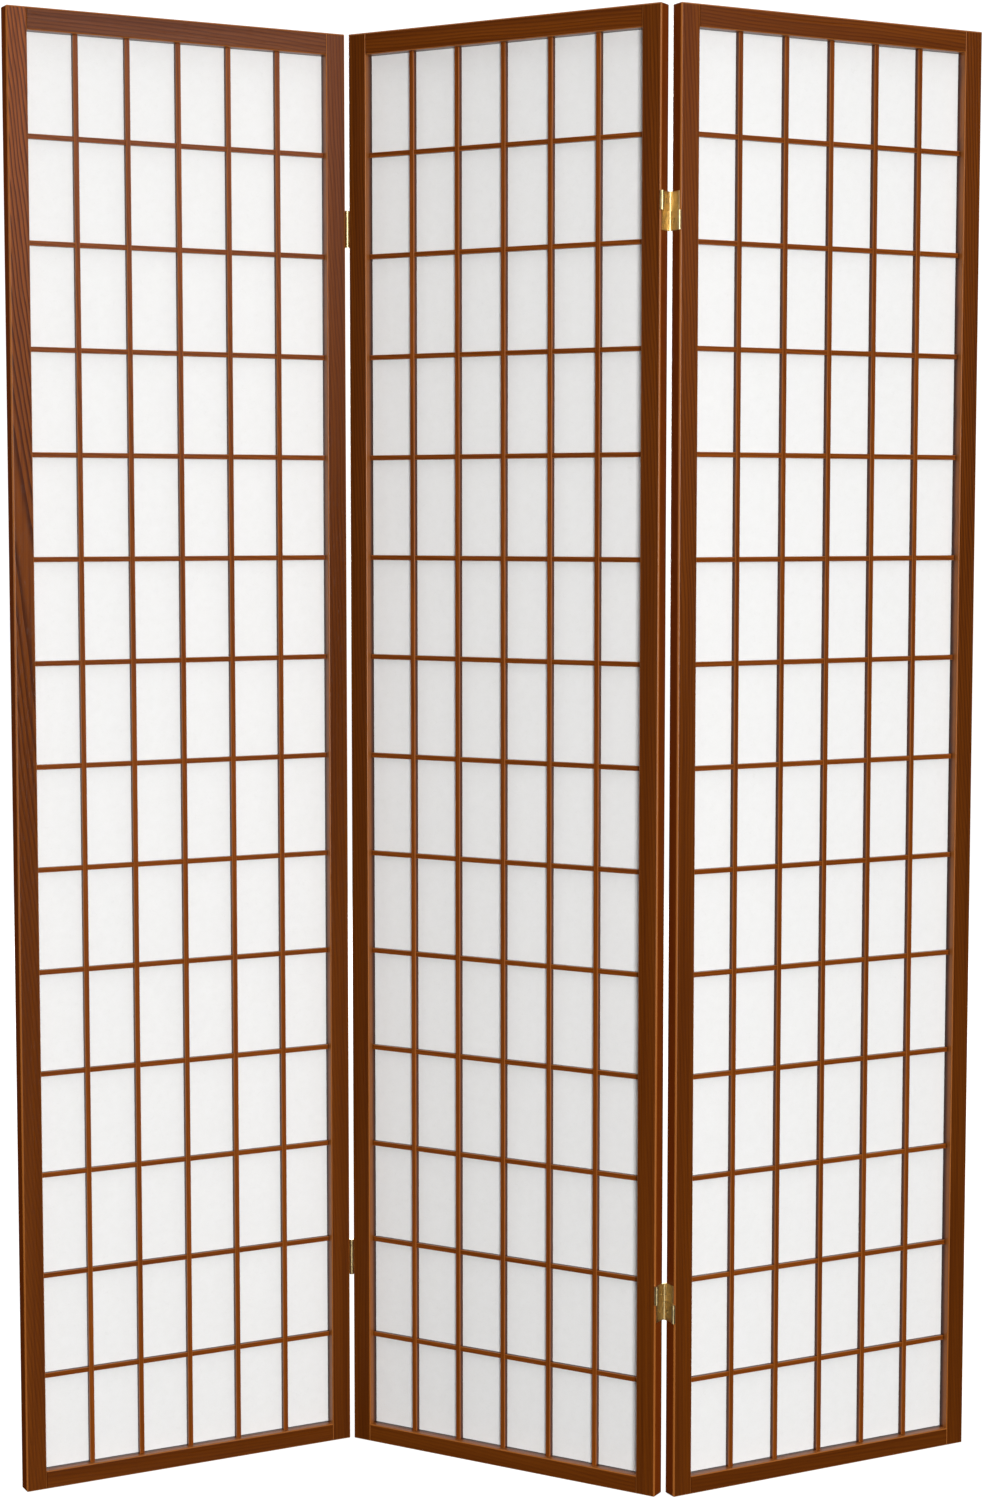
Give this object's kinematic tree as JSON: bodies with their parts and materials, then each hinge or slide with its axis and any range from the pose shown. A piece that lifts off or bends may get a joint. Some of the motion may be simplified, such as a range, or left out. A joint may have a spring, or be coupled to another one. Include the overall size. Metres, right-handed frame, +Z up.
{
  "type": "three-panel shoji folding screen",
  "caption": "Free-standing folding screen of slim wooden frames with lapped lattice and paper panes, joined by two-way brass hinges that fold it flat.",
  "frame": {"origin": "on the floor under the middle of the middle panel, which is the middle of the underside of the whole screen", "axes": "+Z up, +X to the right across the screen seen from its lattice side, +Y away from the lattice side"},
  "size_m": [1.1768, 0.2358, 1.784],
  "materials": {
    "frame_wood": "walnut stain under satin lacquer, straight lengthwise grain",
    "lattice_wood": "walnut stain under satin lacquer, as the frame",
    "shoji_paper": "translucent white paper with faint long fibres",
    "hinge_brass": "brass plated pressed sheet, lightly polished",
    "brass_pins": "plain turned brass",
    "brass_screws": "brass plated countersunk wood screws with a cross recess"
  },
  "bodies": {
    "middle_panel": {"middle_panel_left_stile": "frame_wood", "middle_panel_right_stile": "frame_wood", "middle_panel_top_rail": "frame_wood", "middle_panel_bottom_rail": "frame_wood", "middle_panel_upright_bars": "lattice_wood", "middle_panel_cross_bars": "lattice_wood", "middle_panel_paper": "shoji_paper", "middle_panel_screws": "brass_screws", "upper_left_hinge_middle_leaf": "hinge_brass", "upper_left_hinge_upper_link": "hinge_brass", "upper_left_hinge_upper_pivot_pin": "brass_pins", "upper_left_hinge_lower_pivot_pin": "brass_pins", "upper_left_hinge_upper_link_pin": "brass_pins", "lower_left_hinge_middle_leaf": "hinge_brass", "lower_left_hinge_upper_link": "hinge_brass", "lower_left_hinge_upper_pivot_pin": "brass_pins", "lower_left_hinge_lower_pivot_pin": "brass_pins", "lower_left_hinge_upper_link_pin": "brass_pins", "upper_right_hinge_middle_leaf": "hinge_brass", "upper_right_hinge_upper_link": "hinge_brass", "upper_right_hinge_upper_pivot_pin": "brass_pins", "upper_right_hinge_lower_pivot_pin": "brass_pins", "upper_right_hinge_upper_link_pin": "brass_pins", "lower_right_hinge_middle_leaf": "hinge_brass", "lower_right_hinge_upper_link": "hinge_brass", "lower_right_hinge_upper_pivot_pin": "brass_pins", "lower_right_hinge_lower_pivot_pin": "brass_pins", "lower_right_hinge_upper_link_pin": "brass_pins"},
    "left_panel": {"left_panel_left_stile": "frame_wood", "left_panel_right_stile": "frame_wood", "left_panel_top_rail": "frame_wood", "left_panel_bottom_rail": "frame_wood", "left_panel_upright_bars": "lattice_wood", "left_panel_cross_bars": "lattice_wood", "left_panel_paper": "shoji_paper", "left_panel_screws": "brass_screws", "upper_left_hinge_side_leaf": "hinge_brass", "upper_left_hinge_lower_link": "hinge_brass", "upper_left_hinge_lower_link_pin": "brass_pins", "lower_left_hinge_side_leaf": "hinge_brass", "lower_left_hinge_lower_link": "hinge_brass", "lower_left_hinge_lower_link_pin": "brass_pins"},
    "right_panel": {"right_panel_left_stile": "frame_wood", "right_panel_right_stile": "frame_wood", "right_panel_top_rail": "frame_wood", "right_panel_bottom_rail": "frame_wood", "right_panel_upright_bars": "lattice_wood", "right_panel_cross_bars": "lattice_wood", "right_panel_paper": "shoji_paper", "right_panel_screws": "brass_screws", "upper_right_hinge_side_leaf": "hinge_brass", "upper_right_hinge_lower_link": "hinge_brass", "upper_right_hinge_lower_link_pin": "brass_pins", "lower_right_hinge_side_leaf": "hinge_brass", "lower_right_hinge_lower_link": "hinge_brass", "lower_right_hinge_lower_link_pin": "brass_pins"}
  },
  "joints": [
    {"name": "left_fold", "type": "hinge", "parent": "middle_panel", "child": "left_panel", "pos_m": [-0.19707, 0.09701, 0.892], "axis": [0, 0, 1], "range_deg": [-57.9, 122.1]},
    {"name": "right_fold", "type": "hinge", "parent": "middle_panel", "child": "right_panel", "pos_m": [0.19707, -0.09701, 0.892], "axis": [0, 0, 1], "range_deg": [-57.9, 122.1]}
  ]
}
